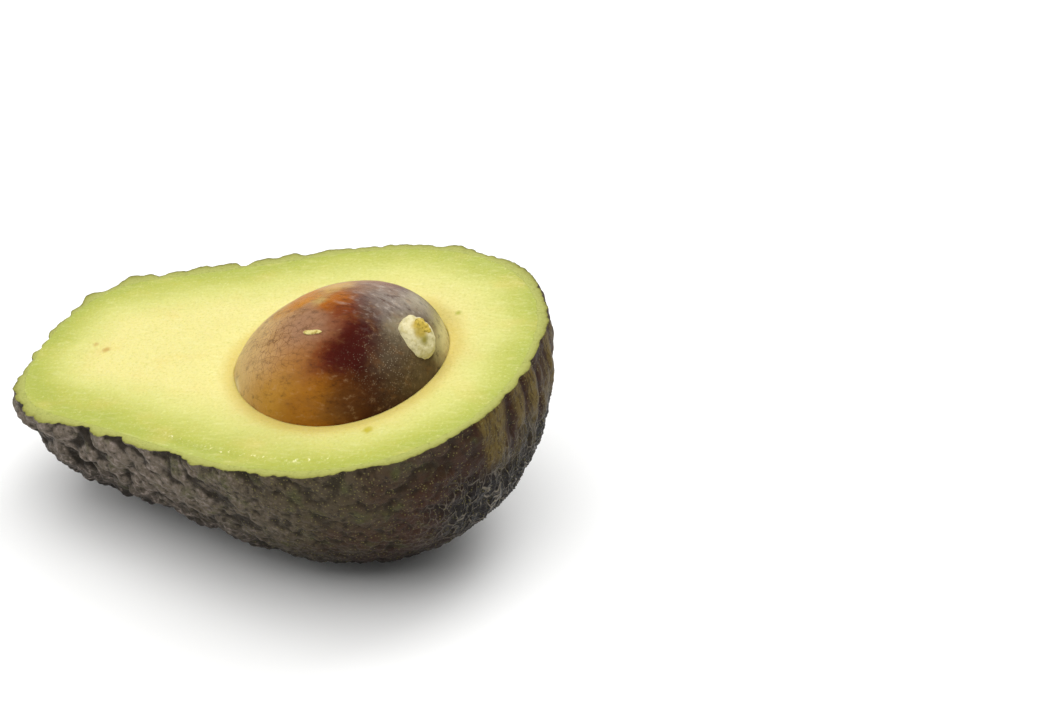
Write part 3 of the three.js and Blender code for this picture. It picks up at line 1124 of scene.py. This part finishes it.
def rough_blob(radii, relief, size, detail=5):
    """An egg of given radii with a noisy surface, in its own frame."""
    bm = bmesh.new()
    bmesh.ops.create_icosphere(bm, subdivisions=detail, radius=1)
    unit = positions(bm)
    points = unit * radii
    bulge = relief * (noise_at(points + 31.0, size) + 0.5 * noise_at(points + 7.0, size / 2.3))
    move_verts(bm.verts, points + unit * bulge[:, None])
    return bm


# Golden and olive stains of the scar: centre in its own frame, radius and colour
SCAR_STAINS = (
    ((-1.6, -0.7, 2.8), 0.9, "#b39a3c"),
    ((-0.3, -1.0, 3.0), 1.1, "#a8923c"),
    ((1.0, -1.2, 2.8), 0.7, "#8f8436"),
)


def scar_material():
    """Corky scar tissue, torn and dried: cream, crumbly and matt, with a golden and an olive stain."""
    material, tree, shader, place = new_material("seed scar, torn and dried", "place")
    grain = pattern(tree, place, 0.8, 4.0)
    colour = coat(tree, "#d6cca0", "#b8ab70", grain, 0.45, 0.7, 0.7)
    moved = stirred(tree, place, 1.5, 1.0)
    for centre, reach, code in SCAR_STAINS:
        colour = patch(tree, colour, code, moved, centre, reach, 0.6)
    bump = add_node(tree, "Bump", {"Height": grain, "Distance": 0.3 * MM})
    fill_inputs(tree, shader, {"Base Color": colour, "Roughness": 0.8, "Normal": bump})
    return material


def crumb_material(name, pale, dark):
    """Dried flesh or cork, crumbled: small, matt and uneven, and it catches the light on its top."""
    material, tree, shader, place = new_material(name, "place")
    grain = pattern(tree, place, 0.6, 3.0)
    colour = coat(tree, pale, dark, grain, 0.45, 0.7)
    bump = add_node(tree, "Bump", {"Height": grain, "Distance": 0.15 * MM})
    fill_inputs(tree, shader, {"Base Color": colour, "Roughness": 0.6, "Normal": bump})
    return material


class AVOCADO_OT_scar(Operator):
    """Makes the scar at the seed's broad end, with its crumb, and the flake on the seed"""
    bl_idname = "avocado.scar"
    bl_label = "Scar and flake"

    def execute(self, context):
        scar = rough_blob(SCAR_RADII, 0.3, 1.7)
        matrix = on_seed(SCAR_DIRECTION, sink=SCAR_SINK)
        finish_piece(scar, "scar", scar_material(), ["seed_scar"], matrix=matrix)
        crumb = rough_blob((1.9, 1.1, 0.8), 0.35, 0.8, 4)
        material = crumb_material("cork crumb, dried", "#c9ae46", "#94802a")
        matrix = on_seed((0.93, 0.11, 0.35), 0.3, -1.9)
        finish_piece(crumb, "scar_crumb", material, matrix=matrix)
        flake = rough_blob((1.9, 0.5, 0.2), 0.16, 0.9, 4)
        material = crumb_material("flesh flake, dried", "#cfc17c", "#a8923f")
        matrix = on_seed((0.32, -0.39, 0.86), 0.1, -0.12)
        finish_piece(flake, "seed_flake", material, matrix=matrix)
        return {"FINISHED"}


# The stage

FLOOR_REACH = 3
CAMERA_AIM = Vector((92.08, 16.2, 7.13)) * MM
LIGHT_AIM = Vector((0, 0, 0.02))
ROOM_LIGHT = 0.2

# The soft boxes: place to the right of, behind and above the fruit, in metres, side, power, and
# whether the fruit mirrors it
LIGHTS = {
    "ceiling": ((0, -0.3, 1.05), 1.3, 15, False),
    "window": ((0.42, 0.42, 0.9), 0.6, 3.2, True),
    "side": ((-0.9, -0.2, 0.5), 0.6, 2, True),
    "backdrop": ((0.3, 1.3, 0.45), 1.2, 6, True),
}


def floor_material(settings):
    """A matt painted board: an even, pale ground with no shine."""
    material, tree, shader = new_material("matt painted board")
    tone = add_node(tree, "TexNoise", {"Scale": 3.0, "Detail": 2.0}, "Fac")
    colour = coat(tree, settings.floor, "#e9e9e7", tone, 0.3, 0.7, 0.05)
    fill_inputs(tree, shader, {"Base Color": colour, "Roughness": 0.9})
    return material


def add_floor(settings):
    """A level square under the fruit."""
    bm = bmesh.new()
    bmesh.ops.create_grid(bm, x_segments=1, y_segments=1, size=FLOOR_REACH)
    mesh = bpy.data.meshes.new("floor")
    bm.to_mesh(mesh)
    bm.free()
    mesh.materials.append(floor_material(settings))
    floor = add_object("floor", mesh)


def from_camera(settings, right, back, up):
    """A point at distances to the right of, behind and above the fruit, as the camera sees it."""
    turn = settings.azimuth
    across = Vector((math.cos(turn), math.sin(turn), 0))
    away = Vector((-math.sin(turn), math.cos(turn), 0))
    return across * right + away * back + Vector((0, 0, up))


def add_light(name, place, size, power, mirrored):
    """A square soft box at a place, turned to the fruit. One that isn't mirrored lights the fruit
    without a shine."""
    data = bpy.data.lights.new(name, "AREA")
    data.size = size
    data.energy = power
    light = add_object(name, data)
    light.location = place
    light.rotation_euler = (LIGHT_AIM - place).to_track_quat("-Z", "Y").to_euler()
    light.visible_glossy = mirrored


def add_room():
    """An even white light from all round, and colours shown as they are."""
    world = bpy.data.worlds.new("soft room")
    world.use_nodes = True
    background = world.node_tree.nodes["Background"]
    background.inputs["Color"].default_value = (1, 1, 1, 1)
    background.inputs["Strength"].default_value = ROOM_LIGHT
    bpy.context.scene.world = world
    bpy.context.scene.view_settings.view_transform = "Standard"


def add_camera(settings):
    """The photograph's camera: aimed beside the half, which stands left of the middle."""
    aim = row_matrix() @ Vector((0, 0, 0)) + CAMERA_AIM
    level = math.cos(settings.elevation)
    offset = from_camera(settings, 0, -level, math.sin(settings.elevation))
    data = bpy.data.cameras.new("camera")
    data.lens = settings.lens
    data.sensor_width = 36
    data.clip_start = 0.01
    camera = add_object("camera", data)
    camera.location = aim + offset * settings.distance
    camera.rotation_euler = (-offset).to_track_quat("-Z", "Y").to_euler()
    bpy.context.scene.camera = camera


class AVOCADO_OT_stage(Operator):
    """Makes the floor, the lights and the camera"""
    bl_idname = "avocado.stage"
    bl_label = "Stage"

    def execute(self, context):
        settings = context.scene.avocado_stage
        add_floor(settings)
        for name, (place, size, power, mirrored) in LIGHTS.items():
            add_light(name, from_camera(settings, *place), size, power, mirrored)
        add_room()
        add_camera(settings)
        return {"FINISHED"}


OPERATORS = (AVOCADO_OT_skin, AVOCADO_OT_flesh, AVOCADO_OT_seed, AVOCADO_OT_scar, AVOCADO_OT_stage)
SETTINGS = {
    "avocado_skin": SkinSettings,
    "avocado_peel": PeelSettings,
    "avocado_flesh": FleshSettings,
    "avocado_seed": SeedSettings,
    "avocado_stage": StageSettings,
}


class AVOCADO_PT_parts(Panel):
    """Lists the pieces of the fruit and the stage"""
    bl_idname = "AVOCADO_PT_parts"
    bl_label = "Avocado half"
    bl_space_type = "VIEW_3D"
    bl_region_type = "UI"
    bl_category = "Avocado"

    def draw(self, context):
        for operator in OPERATORS:
            self.layout.operator(operator.bl_idname)
        for name in SETTINGS:
            box = self.layout.box()
            settings = getattr(context.scene, name)
            for key in settings.__annotations__:
                box.prop(settings, key)


def register():
    for name, group in SETTINGS.items():
        bpy.utils.register_class(group)
        setattr(bpy.types.Scene, name, PointerProperty(type=group))
    for operator in OPERATORS:
        bpy.utils.register_class(operator)
    bpy.utils.register_class(AVOCADO_PT_parts)


def unregister():
    bpy.utils.unregister_class(AVOCADO_PT_parts)
    for operator in reversed(OPERATORS):
        bpy.utils.unregister_class(operator)
    for name, group in SETTINGS.items():
        delattr(bpy.types.Scene, name)
        bpy.utils.unregister_class(group)


def main():
    noise.seed_set(NOISE_SEED)
    register()
    bpy.ops.avocado.skin()
    bpy.ops.avocado.flesh()
    bpy.ops.avocado.seed()
    bpy.ops.avocado.scar()
    bpy.ops.avocado.stage()


if __name__ == "__main__":
    main()
